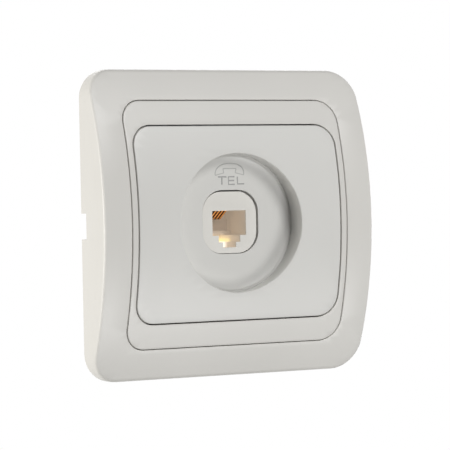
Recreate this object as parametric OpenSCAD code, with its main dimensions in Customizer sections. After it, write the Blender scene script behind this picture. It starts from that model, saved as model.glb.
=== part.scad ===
// Flush telephone wall socket: arched frame, inner trim frame, cover plate with a round
// well, dished floor, six-position jack, terminals, steel support plate and fixing claws.
// X is to the right, Y goes into the wall, Z is up. The wall's surface is the plane Y = 0.

/* [Outer frame] */
// Width and height of the square outer frame
frame_w = 82; // [76:0.5:90]
// How far the arched front stands off the wall at mid height
frame_depth = 13.2; // [12.4:0.1:15]
// Radius of the arch of the front, seen from the side
arch_r = 88; // [80:1:140]
// Radius of the frame's corners, seen from the front
frame_corner_r = 7.6; // [4:0.1:10]
// Thickness of the moulded front skins
skin = 1.8; // [1.4:0.1:2.2]
// Thickness of the frame's outer side wall
frame_wall = 1.9; // [1.4:0.1:2.6]
// Width of the frame's border beside the window
border_w = 8.1; // [7:0.05:9]
// Height of the frame's border above and below the window
border_h = 8.2; // [7.5:0.05:9]
// Radius of the window's corners
window_r = 6; // [4.5:0.1:7]
// Thickness of the wall around the window
window_wall = 1.4; // [1:0.1:2]
// Width of the ledge that carries the inner frame
ledge_w = 0.9; // [0.6:0.1:1.2]
// Height of the ledge above the support plate
ledge_h = 2.4; // [1.8:0.1:2.8]
// Thickness of the stiffening ribs inside the frame
rib_t = 1.2; // [0.8:0.1:1.6]
// Length of the pry notch in each side wall
notch_l = 6.7; // [4:0.1:10]
// Depth of the pry notch
notch_d = 2.8; // [1.5:0.1:4]

/* [Inner frame] */
// Gap between the outer and the inner frame
ring_gap = 0.2; // [0.1:0.05:0.4]
// Width of the inner frame's side bars
side_bar = 1.65; // [1.4:0.05:2.4]
// Height of the inner frame's top and bottom bars
wide_bar = 6.4; // [5.6:0.1:7.6]
// Corner radius of the inner frame's window
plate_window_r = 5.9; // [4:0.1:6.5]
// Wall of the channel under the inner frame's top and bottom bars
channel_wall = 1.3; // [1:0.1:1.8]

/* [Cover plate] */
// Gap between the inner frame and the cover plate
plate_gap = 0.35; // [0.2:0.05:0.5]
// Wall of the cover plate's skirt
plate_wall = 1.4; // [1:0.1:1.8]
// How far the back of the skirt stays from the wall
skirt_back = 3; // [2.6:0.1:3.6]
// Radius of the round well
well_r = 18.5; // [17:0.1:20]
// Wall of the collar around the well
collar_wall = 1.4; // [1:0.1:1.8]
// Width of a snap leg
leg_w = 4; // [3:0.1:5]
// Thickness of a snap leg
leg_t = 1.4; // [1:0.1:1.6]
// Reach of a snap leg's barb
barb = 0.8; // [0.5:0.05:1]
// Gap between a snap leg and the carrier's flange
leg_gap = 3.1; // [2.8:0.1:3.4]
// Barb's length behind the support plate
leg_tip = 1.6; // [1.2:0.1:2]
// Distance of the snap legs from the middle, along Z
leg_z = 17; // [15:0.5:19]

/* [Well dish] */
// Gap between the well's wall and the dish
dish_gap = 0.42; // [0.2:0.02:0.6]
// How far the dish's rim stands off the wall
dish_rim = 7.6; // [7.2:0.1:8.2]
// How far the dish's floor stands off the wall
dish_floor = 6.8; // [6.4:0.1:7]
// Width of the dish's hollow-curved border
dish_border = 5.2; // [3:0.1:6]
// Width of the dish's flat lip
dish_lip = 0.35; // [0.2:0.05:0.6]
// Wall of the dish
dish_wall = 1.5; // [1.2:0.1:1.8]

/* [Jack] */
// Width of the jack's front face
bezel_w = 16.2; // [15:0.1:17]
// Height of the jack's front face
bezel_h = 16.4; // [15:0.1:17]
// Corner radius of the jack's front face
bezel_r = 5.6; // [4:0.1:6]
// Gap between the jack's face and the dish
bezel_gap = 0.45; // [0.2:0.05:0.6]
// How far the jack's face lies below the dish's floor
bezel_sink = 0.15; // [0:0.05:0.4]
// How far the jack sits to the right of the well's middle
jack_shift = -0.33; // [-0.35:0.01:0.35]
// Thickness of the jack's front flange
bezel_t = 2.2; // [1.6:0.1:2.6]
// Width of the plug opening
plug_w = 10.2; // [9.8:0.1:10.6]
// Height of the plug opening
plug_h = 6.6; // [6.5:0.1:7]
// Height of the middle of the plug opening
plug_z = -0.05; // [-0.6:0.05:0.2]
// Width of the latch's guide slot
latch_w1 = 6.5; // [6.2:0.1:7]
// Height of the latch's guide slot
latch_h1 = 1.8; // [1.5:0.1:2]
// Width of the latch's tongue slot
latch_w2 = 3.9; // [3.6:0.1:4.4]
// Height of the latch's tongue slot
latch_h2 = 1.4; // [1.2:0.1:1.6]
// Depth of the plug opening
plug_depth = 11; // [10.5:0.1:11.5]
// Wall of the jack's body beside the opening
jack_wall = 1.9; // [1.5:0.1:2.2]
// Width of a contact wire
wire_w = 0.5; // [0.4:0.02:0.56]
// Thickness of a contact wire
wire_t = 0.36; // [0.3:0.02:0.4]
// Spacing of the contact wires
wire_pitch = 1.02; // [0.95:0.01:1.1]
// Angle at which the contact wires slope back
wire_slope = 27; // [20:1:29]
// Height of the channel that holds the wires above the opening
channel_h = 1.1; // [1:0.05:1.3]

/* [Circuit board and terminals] */
// Gap between the circuit board and the carrier's wall
board_gap = 1.4; // [0.8:0.1:2.4]
// Thickness of the circuit board
board_t = 1.6; // [1:0.1:2]
// Distance of the board's front from the wall's surface
board_y = 8; // [7.6:0.1:9]
// Spacing of the terminals
pole_pitch = 5.5; // [5:0.1:6]
// Depth of the terminal block
block_d = 9.6; // [9:0.1:11]
// Height of the terminal block
block_h = 10; // [9.5:0.1:11]
// Height of the terminal block above the board's lower edge
block_rise = 4.4; // [4:0.1:5]
// Length of the board's screws
board_screw_l = 6.6; // [5:0.1:7.4]
// Radius of the board's screws
board_screw_r = 1; // [0.8:0.05:1.1]
// Radius of a terminal screw's head
pole_head_r = 1.75; // [1.4:0.05:1.9]
// Radius of a terminal screw's shank
pole_shank_r = 1.2; // [0.9:0.05:1.3]

/* [Carrier] */
// Width and height of the carrier's body
carrier_w = 40; // [39:0.1:41]
// Wall of the carrier
carrier_wall = 1.6; // [1.2:0.1:2]
// How far the carrier reaches into the wall
carrier_depth = 21; // [20.5:0.5:28]
// Width of the carrier's flange beside the body
flange_out = 2.7; // [2.5:0.05:2.8]
// Thickness of the carrier's flange
flange_t = 1.5; // [1.2:0.1:1.7]
// Radius of the carrier's corners
carrier_r = 3; // [2:0.5:4]
// Width of the cable's notch in the carrier's lower wall
cable_w = 12; // [8:0.5:16]
// Depth of the cable's notch
cable_d = 7; // [4:0.5:9]

/* [Support plate] */
// Gap between the steel support plate and the frame's side wall
support_gap = 4.1; // [2.4:0.1:4.4]
// Thickness of the steel
support_t = 1; // [0.8:0.1:1.2]
// Length of the support plate's cut corners
support_cut = 10; // [6:0.5:12]
// Spacing of the two fixing slots
fixing_pitch = 60; // [56:0.5:61]
// Radius of the ends of a fixing slot
fixing_r = 2.1; // [1.8:0.05:2.3]
// Length of a fixing slot, end to end
fixing_l = 5.8; // [5:0.1:6.4]

/* [Claws] */
// Width of a claw
claw_w = 9; // [8:0.1:10]
// Thickness of the claw's steel
claw_t = 1.1; // [0.9:0.1:1.3]
// Reach of a claw's leg behind its pivot
claw_leg = 16.5; // [15:0.5:18]
// Radius of the claw's rolled eye
claw_eye_r = 1.9; // [1.7:0.1:2]
// Radius of the claw's pin
claw_pin_r = 0.9; // [0.7:0.05:1]
// Radius of the claw screw
claw_screw_r = 1.25; // [1.1:0.05:1.3]
// Radius of the claw screw's head
claw_head_r = 2.5; // [2.2:0.1:2.6]
// Distance between the claw's pivot and its screw
claw_arm = 3.6; // [3.5:0.1:4]
// Length of a claw screw behind the support plate
claw_screw_l = 16.5; // [13:0.5:18]
// Length of a tooth at the claw's end
tooth = 1.3; // [1:0.1:1.5]

/* [Hidden] */

$fn = 64;
over = 1;                     // how far a cut runs past the face that it opens
snug = 0.05;                  // clearance of a piece that is pushed in
running = 0.05;               // radial clearance of a turning pin
washer_gap = 0.1;             // how far a terminal screw's head stands off its clamp
poles = 4;

// Fronts and backs, counted forward from the wall's surface
carrier_front = support_t + flange_t;
ring_back = support_t + ledge_h;
bezel_front = dish_floor - bezel_sink;
bezel_back = bezel_front - bezel_t;

// Window, inner frame and cover plate
window_w = frame_w - 2 * border_w;
window_h = frame_w - 2 * border_h;
ring_w = window_w - 2 * ring_gap;
ring_h = window_h - 2 * ring_gap;
ring_r = window_r - ring_gap;
plate_window_w = ring_w - 2 * side_bar;
plate_window_h = ring_h - 2 * wide_bar;
plate_w = plate_window_w - 2 * plate_gap;
plate_h = plate_window_h - 2 * plate_gap;
plate_r = plate_window_r - plate_gap;
dish_r = well_r - dish_gap;

// Jack
plug_top = plug_z + plug_h / 2;
plug_bottom = plug_z - plug_h / 2;
plug_end = plug_depth - bezel_front;              // where the opening ends, behind the wall's surface
wire_side = 0.2;                                  // room beside the outer wires
channel_w = poles * wire_pitch + 2 * wire_side;
wire_hole_r = norm([wire_w, wire_t]) / 2 + snug;
wire_y = -1;                                      // where the wires turn back
wire_z = plug_top + channel_h / 2;
wire_end_gap = 0.3;                               // how far the wires end in front of the insert
wire_end_y = plug_end - wire_end_gap;
wire_end_z = wire_z - (wire_end_y - wire_y) * tan(wire_slope);
wire_tail = 0.5;                                  // how far a wire or pin stands out behind the board
jack_top = plug_top + channel_h + jack_wall;
jack_floor = 1.2;                                 // wall under the latch's slots
jack_bottom = plug_bottom - latch_h1 - latch_h2 - jack_floor;
jack_body_w = plug_w + 2 * jack_wall;

// Board and terminals
board_w = carrier_w - 2 * carrier_wall - 2 * board_gap;
board_r = 1.5;
board_back = board_y + board_t;
barrier_t = 1;                                    // thickness of the walls between the poles
barrier_h = 0.6;                                  // how far they stand behind the block
block_end = 1;                                    // wall at each end of the block
block_w = poles * pole_pitch + 2 * block_end;
block_back = board_back + block_d;
block_z = block_rise - board_w / 2;
clamp_wall = 1.6;                                 // plastic between two clamps, and in front of them
clamp_w = pole_pitch - clamp_wall;
clamp_d = 5.2;
clamp_h = 6;
clamp_y = board_back + clamp_wall;                // front of the clamp
clamp_z = block_z + 0.6;                          // bottom of the clamp
clamp_skin = 0.7;                                 // brass in front of the clamp's wire hole
clamp_wire_r = 1.3;
clamp_wire_y = clamp_y + clamp_skin + clamp_wire_r;
pole_z = clamp_z + clamp_h / 2;
pole_head_t = 1.6;
pole_slot_w = 0.55;
pole_slot_d = 0.7;
board_pin_r = 0.45;
board_screw_edge = 2.2;                           // from the board's edge to its screws
board_screw_x = board_w / 2 - board_screw_edge;
board_head_r = 1.9;
board_head_t = 1.3;
cross_d = 0.6;                                    // depth of a crossed driver's recess

// Carrier, support plate and claws
flange_w = carrier_w + 2 * flange_out;
boss_w = 5.4;
doorway_gap = 0.5;                                // between the jack's body and its doorway
support_w = frame_w - 2 * frame_wall - 2 * support_gap;
support_hole_w = carrier_w + 1;
leg_x = flange_w / 2 + leg_gap + leg_t / 2;
leg_slot_gap = 0.25;                              // room around a snap leg in its slot
ear_t = 1;
ear_r = 1.9;
ear_gap = 0.3;
ear_z = claw_w / 2 + ear_gap + ear_t / 2;
pivot_x = carrier_w / 2 + claw_eye_r + 0.2;
pivot_y = 3.8;
pin_head = 0.2;                                   // how far a pin stands out of its ears
claw_screw_x = pivot_x + claw_arm;
claw_head_t = 1.6;
foot_past = 3;                                    // how far the foot reaches beyond the screw
claw_foot = claw_arm + foot_past;
foot_shift = 0.17;                                // the foot's hole allows for the claw's swing
foot_play_x = 1.3;                                // room around the screw in the foot's hole
foot_play_z = 0.7;
claw_tip = pivot_y + claw_leg;
claw_slot_front = 0.6;                            // steel between the eye and the screw's slot
claw_slot_back = 3;                               // steel between the slot and the claw's tip
claw_slot_y = pivot_y + claw_eye_r + claw_slot_front;
claw_slot_l = claw_tip - claw_slot_back - claw_slot_y;
rivet_r = 0.8;
rivet_head_r = 1.28;
rivet_head_t = 0.5;
rivet_x = carrier_w / 2 + flange_out / 2 + 0.15;
slot_clear = 0.75;

function pole_x(i) = (i - (poles + 1) / 2) * pole_pitch;
function wire_x(i) = jack_shift + (i - (poles + 1) / 2) * wire_pitch;

module rounded(w, h, r) {
  square([w - 2 * r, h], center = true);
  square([w, h - 2 * r], center = true);
  for (x = [-1, 1], y = [-1, 1])
    translate([x * (w / 2 - r), y * (h / 2 - r)]) circle(r = r);
}

// A flat drawing in X and Z made solid from one depth in front of the wall to another
module slab(back, face) {
  translate([0, -back, 0]) rotate([90, 0, 0]) linear_extrude(face - back) children();
}

// Everything behind the arched front, or behind a surface that lies a given depth below it
module behind_arch(below = 0) {
  translate([0, arch_r - frame_depth, 0]) rotate([0, 90, 0])
    cylinder(r = arch_r - below, h = 2 * frame_w, center = true, $fn = 180);
}

// A round bar along Y
module rod_y(r, y0, y1) {
  translate([0, y1, 0]) rotate([90, 0, 0]) cylinder(r = r, h = y1 - y0);
}

module outer_frame() color([0.86, 0.85, 0.83]) {
  inner_w = frame_w - 2 * frame_wall;
  inner_r = frame_corner_r - frame_wall;
  difference() {
    intersection() {
      slab(0, frame_depth + over) rounded(frame_w, frame_w, frame_corner_r);
      behind_arch();
    }
    // the window, which the ledge narrows at its back
    slab(ring_back, frame_depth + over) rounded(window_w, window_h, window_r);
    slab(-over, frame_depth)
      rounded(window_w - 2 * ledge_w, window_h - 2 * ledge_w, window_r - ledge_w);
    // the hollow under the skin, between the window's wall and the side wall
    difference() {
      intersection() {
        slab(-over, frame_depth) difference() {
          rounded(inner_w, inner_w, inner_r);
          rounded(window_w + 2 * window_wall, window_h + 2 * window_wall, window_r + window_wall);
        }
        behind_arch(skin);
      }
      frame_ribs();
    }
    // the room for the support plate
    slab(-over, support_t) rounded(inner_w, inner_w, inner_r);
    // the pry notches
    for (side = [-1, 1])
      translate([side * frame_w / 2, 0, 0])
        cube([4 * frame_wall, 2 * notch_d, notch_l], center = true);
  }
}

module frame_ribs() {
  span = frame_w / 2;
  for (turn = [0:90:270], place = [-0.55, 0, 0.55])
    rotate([0, turn, 0]) translate([place * window_w / 2 - rib_t / 2, -frame_depth, 0])
      cube([rib_t, frame_depth - support_t, span]);
}

module inner_frame() color([0.85, 0.84, 0.82]) {
  bar = (ring_h - plate_window_h) / 2 - 2 * channel_wall;
  difference() {
    intersection() {
      slab(ring_back, frame_depth) difference() {
        rounded(ring_w, ring_h, ring_r);
        rounded(plate_window_w, plate_window_h, plate_window_r);
      }
      behind_arch();
    }
    // the channels under the wide top and bottom bars
    for (side = [-1, 1])
      intersection() {
        translate([0, -ring_back, side * (plate_window_h / 2 + channel_wall + bar / 2)])
          cube([ring_w - 2 * ring_r, 4 * frame_depth, bar], center = true);
        behind_arch(skin);
      }
  }
}

module cover_plate() color([0.87, 0.86, 0.84]) {
  difference() {
    union() {
      difference() {
        intersection() {
          slab(skirt_back, frame_depth + over) rounded(plate_w, plate_h, plate_r);
          behind_arch();
        }
        intersection() {
          slab(-over, frame_depth + over)
            rounded(plate_w - 2 * plate_wall, plate_h - 2 * plate_wall, plate_r - plate_wall);
          behind_arch(skin);
        }
      }
      // the collar around the well stands on the carrier's flange
      intersection() {
        slab(carrier_front, frame_depth + over) circle(r = well_r + collar_wall);
        behind_arch();
      }
      for (x = [-1, 1], z = [-1, 1]) snap_leg(x, z);
    }
    slab(-over, frame_depth + over) circle(r = well_r, $fn = 96);
  }
}

// A leg from the plate's skin through the support plate, with a barb behind it
module snap_leg(side, up) {
  intersection() {
    translate([side * leg_x, 0, up * leg_z]) {
      translate([-leg_t / 2, -frame_depth, -leg_w / 2]) cube([leg_t, frame_depth + leg_tip, leg_w]);
      translate([side * leg_t / 2, 0, 0]) linear_extrude(leg_w, center = true)
        polygon([[0, snug], [side * barb, snug], [side * barb, leg_tip / 3], [0, leg_tip]]);
    }
    behind_arch(skin / 2);
  }
}

module well_dish() color([0.84, 0.83, 0.81]) {
  rise = dish_rim - dish_floor;
  border_r = (dish_border * dish_border + rise * rise) / (2 * rise);
  start = dish_r - dish_lip - dish_border;
  sweep = asin(dish_border / border_r);
  steps = 10;
  difference() {
    rotate([90, 0, 0]) rotate_extrude($fn = 96) polygon(concat(
      [[0, dish_floor - dish_wall], [0, dish_floor]],
      [for (i = [0:steps]) let (a = sweep * i / steps)
        [start + border_r * sin(a), dish_floor + border_r * (1 - cos(a))]],
      [[dish_r, dish_rim], [dish_r, carrier_front], [dish_r - dish_wall, carrier_front],
       [dish_r - dish_wall, dish_floor - dish_wall]]));
    slab(0, dish_rim + over)
      rounded(bezel_w + 2 * bezel_gap, bezel_h + 2 * bezel_gap, bezel_r + bezel_gap);
  }
}

// The plug's opening with the two latch slots under it
module plug_opening() {
  slab(-plug_end, bezel_front + over) {
    translate([0, plug_z]) square([plug_w, plug_h], center = true);
    translate([0, plug_bottom - latch_h1 / 2 + snug])
      square([latch_w1, latch_h1 + 2 * snug], center = true);
    translate([0, plug_bottom - latch_h1 - latch_h2 / 2 + snug])
      square([latch_w2, latch_h2 + 2 * snug], center = true);
  }
}

module jack_housing() color([0.88, 0.87, 0.84]) {
  body_r = 1;
  translate([jack_shift, 0, 0]) difference() {
    union() {
      slab(bezel_back, bezel_front) rounded(bezel_w, bezel_h, bezel_r);
      slab(-board_y, bezel_back + snug)
        translate([0, (jack_top + jack_bottom) / 2])
          rounded(jack_body_w, jack_top - jack_bottom, body_r);
    }
    plug_opening();
    // the insert's pocket and the channel of the wires
    slab(-board_y - over, -plug_end + snug)
      translate([0, plug_z]) square([plug_w, plug_h], center = true);
    translate([-channel_w / 2, wire_y - 2 * wire_t, plug_top - snug])
      cube([channel_w, board_y + over - wire_y + 2 * wire_t, channel_h + snug]);
  }
}

module contact_insert() color([0.28, 0.27, 0.26]) {
  difference() {
    translate([jack_shift, 0, 0]) {
      slab(-board_y, -plug_end) translate([0, plug_z])
        square([plug_w - 2 * snug, plug_h - 2 * snug], center = true);
      slab(-board_y, -plug_end) translate([0, plug_top + channel_h / 2 - snug])
        square([channel_w - 2 * snug, channel_h], center = true);
    }
    for (i = [1:poles]) translate([wire_x(i), 0, wire_z]) rod_y(wire_hole_r, 0, board_y + over);
  }
}

// A straight run of flat wire between two points given as [y, z], with round ends
module wire_run(from, to) {
  step = to - from;
  translate(from) rotate(atan2(step[1], step[0])) {
    translate([0, -wire_t / 2]) square([norm(step), wire_t]);
    circle(r = wire_t / 2, $fn = 24);
    translate([norm(step), 0]) circle(r = wire_t / 2, $fn = 24);
  }
}

module contact_wire(i) color([0.83, 0.62, 0.3]) {
  turn = [wire_y, wire_z];
  translate([wire_x(i), 0, 0]) rotate([90, 0, 90]) linear_extrude(wire_w, center = true) {
    wire_run([board_back + wire_tail, wire_z], turn);
    wire_run(turn, [wire_end_y, wire_end_z]);
  }
}

module circuit_board() color([0.16, 0.42, 0.24]) {
  difference() {
    slab(-board_back, -board_y) rounded(board_w, board_w, board_r);
    for (i = [1:poles]) {
      translate([wire_x(i), 0, wire_z]) rod_y(wire_hole_r, board_y - over, board_back + over);
      translate([pole_x(i), 0, pole_z]) rod_y(board_pin_r + snug, board_y - over, board_back + over);
    }
    for (side = [-1, 1]) translate([side * board_screw_x, 0, board_screw_x])
      rod_y(board_screw_r + snug, board_y - over, board_back + over);
  }
}

module board_screws() color([0.72, 0.72, 0.72]) {
  for (side = [-1, 1]) translate([side * board_screw_x, 0, board_screw_x]) {
    rod_y(board_screw_r, board_back - board_screw_l, board_back + snug);
    difference() {
      rod_y(board_head_r, board_back, board_back + board_head_t);
      cross_slot(board_back + board_head_t, 1.26 * board_head_r);
    }
  }
}

// A crossed driver's recess in a head whose face is at depth y
module cross_slot(y, size) {
  for (turn = [0, 90]) translate([0, y, 0]) rotate([0, turn, 0])
    cube([size, 2 * cross_d, 0.22 * size], center = true);
}

module terminal_block() color([0.93, 0.92, 0.88]) {
  difference() {
    translate([-block_w / 2, board_back, block_z]) cube([block_w, block_d, block_h]);
    for (i = [1:poles]) translate([pole_x(i), 0, 0]) {
      // the clamp's pocket, open below for the wire
      translate([-clamp_w / 2 - snug, clamp_y - snug, block_z - over])
        cube([clamp_w + 2 * snug, clamp_d + 2 * snug, clamp_z - block_z + over + clamp_h + snug]);
      translate([0, 0, pole_z]) {
        rod_y(pole_head_r + 3 * snug, clamp_y + clamp_d, block_back + over);
        rod_y(board_pin_r + snug, board_back - over, clamp_y + over);
      }
    }
    // the barriers between the poles stand proud of the screws' side
    for (i = [1:poles]) translate([pole_x(i), block_back, block_z + block_h / 2])
      cube([pole_pitch - barrier_t, 2 * barrier_h, block_h + over], center = true);
  }
}

module terminal_clamp(i) color([0.8, 0.66, 0.36]) {
  translate([pole_x(i), 0, 0]) {
    difference() {
      translate([-clamp_w / 2, clamp_y, clamp_z]) cube([clamp_w, clamp_d, clamp_h]);
      translate([0, clamp_wire_y, clamp_z - over]) cylinder(r = clamp_wire_r, h = clamp_h + 2 * over);
      translate([0, 0, pole_z]) rod_y(pole_shank_r + snug, clamp_wire_y, clamp_y + clamp_d + over);
    }
    translate([0, 0, pole_z]) rod_y(board_pin_r, board_y - wire_tail, clamp_y + clamp_skin / 2);
  }
}

module terminal_screw(i) color([0.75, 0.75, 0.76]) {
  head_back = clamp_y + clamp_d + washer_gap + pole_head_t;
  translate([pole_x(i), 0, pole_z]) {
    rod_y(pole_shank_r, clamp_wire_y + clamp_wire_r / 2, head_back - pole_head_t + snug);
    difference() {
      rod_y(pole_head_r, head_back - pole_head_t, head_back);
      translate([0, head_back, 0])
        cube([3 * pole_head_r, 2 * pole_slot_d, pole_slot_w], center = true);
    }
  }
}

module carrier() color([0.9, 0.89, 0.86]) {
  inner_w = carrier_w - 2 * carrier_wall;
  boss_x = inner_w / 2 - boss_w / 2;
  difference() {
    union() {
      slab(support_t, carrier_front) rounded(flange_w, flange_w, carrier_r);
      slab(-carrier_depth, support_t + snug) rounded(carrier_w, carrier_w, carrier_r);
    }
    // the hollow body, with corner bosses under the board
    slab(-carrier_depth - over, support_t) difference() {
      rounded(inner_w, inner_w, carrier_r - carrier_wall);
      for (x = [-1, 1], z = [-1, 1])
        translate([x * (boss_x + over / 2), z * (boss_x + over / 2)])
          square(boss_w + over, center = true);
    }
    slab(-carrier_depth - over, -board_y) rounded(inner_w, inner_w, carrier_r - carrier_wall);
    // the doorway for the jack
    slab(0, carrier_front + over)
      translate([jack_shift, (jack_top + jack_bottom) / 2])
        square([jack_body_w, jack_top - jack_bottom] + 2 * doorway_gap * [1, 1], center = true);
    // the cable's notch in the lower wall
    translate([0, carrier_depth, -carrier_w / 2])
      cube([cable_w, 2 * cable_d, 4 * carrier_wall], center = true);
    for (side = [-1, 1]) translate([side * board_screw_x, 0, board_screw_x])
      rod_y(board_screw_r + snug, board_back - board_screw_l - over, board_y + over);
    for (x = [-1, 1], z = [-1, 1]) translate([x * rivet_x, 0, z * rivet_x])
      rod_y(rivet_r + snug, -carrier_front - over, over);
  }
}

module carrier_rivets() color([0.75, 0.75, 0.76]) {
  for (x = [-1, 1], z = [-1, 1]) translate([x * rivet_x, 0, z * rivet_x]) {
    rod_y(rivet_r, -carrier_front - snug, snug);
    rod_y(rivet_head_r, -carrier_front - rivet_head_t, -carrier_front);
    rod_y(rivet_head_r, 0, rivet_head_t);
  }
}

module support_plate() color([0.76, 0.77, 0.78]) {
  half = support_w / 2;
  slot_run = fixing_l / 2 - fixing_r;
  leg_slot_x = leg_x + barb / 2;
  screw_gap = 0.15;
  difference() {
    slab(0, support_t) difference() {
      polygon([for (s = [[1, 1, 0], [-1, 1, 1], [-1, -1, 0], [1, -1, 1]], k = [0, 1])
        let (first = (k + s[2]) % 2 == 0)
        first ? [s[0] * half, s[1] * (half - support_cut)]
              : [s[0] * (half - support_cut), s[1] * half]]);
      rounded(support_hole_w, support_hole_w, carrier_r);
      for (side = [-1, 1]) translate([0, side * fixing_pitch / 2]) {
        for (end = [-1, 1]) translate([0, end * slot_run]) circle(r = fixing_r);
        square([2 * fixing_r, 2 * slot_run], center = true);
      }
      for (x = [-1, 1], z = [-1, 1]) translate([x * leg_slot_x, z * leg_z])
        square([leg_t + barb, leg_w] + 2 * leg_slot_gap * [1, 1], center = true);
      for (side = [-1, 1]) translate([side * claw_screw_x, 0]) circle(r = claw_screw_r + screw_gap);
    }
    for (x = [-1, 1], z = [-1, 1]) translate([x * rivet_x, 0, z * rivet_x])
      rod_y(rivet_r + snug, -support_t - over, over);
  }
  for (x = [-1, 1], z = [-1, 1]) pivot_ear(x, z);
}

// An ear bent back from the plate, which holds one end of a claw's pin
module pivot_ear(side, up) {
  neck = 3.1;
  pressed = 0.02;
  translate([side * pivot_x, 0, up * ear_z]) difference() {
    linear_extrude(ear_t, center = true) {
      translate([0, pivot_y]) circle(r = ear_r);
      translate([-neck / 2, -snug]) square([neck, pivot_y + snug]);
    }
    translate([0, pivot_y, 0]) cylinder(r = claw_pin_r + pressed, h = 4 * ear_t, center = true);
  }
}

// The claw on the right; the left one is its mirror image
module claw() {
  slot_h = 2 * (claw_screw_r + slot_clear);
  foot_hole_w = 2 * claw_screw_r + foot_play_x;
  foot_hole_h = 2 * claw_screw_r + foot_play_z;
  difference() {
    union() {
      translate([pivot_x, pivot_y, 0]) cylinder(r = claw_eye_r, h = claw_w, center = true);
      linear_extrude(claw_w, center = true) {
        translate([pivot_x, pivot_y - claw_t / 2]) square([claw_foot, claw_t]);
        translate([pivot_x - claw_t / 2, pivot_y]) square([claw_t, claw_leg]);
        // the toothed end
        for (i = [1:3]) translate([pivot_x + claw_t / 2 - snug, claw_tip - tooth * i])
          polygon([[0, 0], [0, tooth], [tooth, tooth]]);
      }
    }
    translate([pivot_x, pivot_y, 0])
      cylinder(r = claw_pin_r + running, h = claw_w + 2 * over, center = true);
    // the long hole in the foot, and the slot in the leg, which both pass the screw
    translate([claw_screw_x + foot_shift, pivot_y, 0]) rotate([90, 0, 0])
      linear_extrude(4 * claw_t, center = true) rounded(foot_hole_w, foot_hole_h, claw_screw_r);
    translate([pivot_x - 2 * claw_t, claw_slot_y, -slot_h / 2]) cube([4 * claw_t, claw_slot_l, slot_h]);
  }
}

module claw_right() color([0.7, 0.71, 0.72]) claw();
module claw_left() color([0.7, 0.71, 0.72]) mirror([1, 0, 0]) claw();

module claw_pin(side) color([0.6, 0.6, 0.62]) {
  length = claw_w + 2 * (ear_gap + ear_t + pin_head);
  translate([side * pivot_x, pivot_y, 0]) cylinder(r = claw_pin_r, h = length, center = true);
}

module claw_screw(side) color([0.75, 0.75, 0.76]) {
  translate([side * claw_screw_x, 0, 0]) {
    rod_y(claw_screw_r, -support_t - snug, claw_screw_l - support_t);
    difference() {
      rod_y(claw_head_r, -support_t - claw_head_t, -support_t);
      cross_slot(-support_t - claw_head_t, 1.5 * claw_head_r);
    }
  }
}

outer_frame();
inner_frame();
cover_plate();
well_dish();
jack_housing();
contact_insert();
contact_wire(1);  // contact_wire_1
contact_wire(2);  // contact_wire_2
contact_wire(3);  // contact_wire_3
contact_wire(4);  // contact_wire_4
circuit_board();
board_screws();
terminal_block();
terminal_clamp(1);  // terminal_clamp_1
terminal_clamp(2);  // terminal_clamp_2
terminal_clamp(3);  // terminal_clamp_3
terminal_clamp(4);  // terminal_clamp_4
terminal_screw(1);  // terminal_screw_1
terminal_screw(2);  // terminal_screw_2
terminal_screw(3);  // terminal_screw_3
terminal_screw(4);  // terminal_screw_4
carrier();
carrier_rivets();
support_plate();
claw_left();
claw_right();
claw_pin(-1);  // claw_pin_left
claw_pin(1);  // claw_pin_right
claw_screw(-1);  // claw_screw_left
claw_screw(1);  // claw_screw_right
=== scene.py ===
# %% [markdown]
# Telephone wall socket.
# A flush socket in light grey moulded plastic: an arched square frame, a trim frame and a
# cover plate set into it, a round well with a dished floor, and a small jack in the middle.
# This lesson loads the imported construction, models the plastic mouldings again with smooth,
# rounded edges, gives every piece its finish, and lights the socket for one camera.

# %% Load the frame
from math import cos, hypot, pi, radians, sin, sqrt, tan

import bmesh
import bpy
from mathutils import Matrix, Vector


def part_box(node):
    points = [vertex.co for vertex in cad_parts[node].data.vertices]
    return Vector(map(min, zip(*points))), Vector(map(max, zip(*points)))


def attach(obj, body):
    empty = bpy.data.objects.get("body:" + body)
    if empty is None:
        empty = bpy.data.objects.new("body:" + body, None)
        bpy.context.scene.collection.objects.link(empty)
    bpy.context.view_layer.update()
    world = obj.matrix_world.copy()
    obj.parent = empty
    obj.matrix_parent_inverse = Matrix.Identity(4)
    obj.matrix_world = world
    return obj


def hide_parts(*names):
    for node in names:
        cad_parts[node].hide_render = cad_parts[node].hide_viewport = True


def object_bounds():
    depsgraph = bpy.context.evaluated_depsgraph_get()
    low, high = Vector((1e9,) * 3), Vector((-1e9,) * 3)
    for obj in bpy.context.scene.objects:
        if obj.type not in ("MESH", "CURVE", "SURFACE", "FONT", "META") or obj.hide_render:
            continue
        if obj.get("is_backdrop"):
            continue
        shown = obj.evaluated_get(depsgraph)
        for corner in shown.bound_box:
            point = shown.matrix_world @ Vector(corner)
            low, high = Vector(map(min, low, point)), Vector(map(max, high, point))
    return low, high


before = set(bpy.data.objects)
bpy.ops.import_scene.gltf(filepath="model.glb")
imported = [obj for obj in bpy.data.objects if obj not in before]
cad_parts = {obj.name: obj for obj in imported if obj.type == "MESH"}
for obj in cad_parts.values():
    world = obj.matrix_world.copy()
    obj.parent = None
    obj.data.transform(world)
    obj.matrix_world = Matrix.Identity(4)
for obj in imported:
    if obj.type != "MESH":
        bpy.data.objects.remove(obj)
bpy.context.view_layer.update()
mm = 0.001
print("nodes loaded:", len(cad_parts))

# %% [markdown]
# The camera stands to the left of the socket, almost level with its middle, far away with a
# long lens, so the picture has little perspective. Its direction is built from three turns:
# yaw to the right, a little pitch down, and a little roll. The matrix holds the camera's own
# right, up and back directions as columns.

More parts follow.
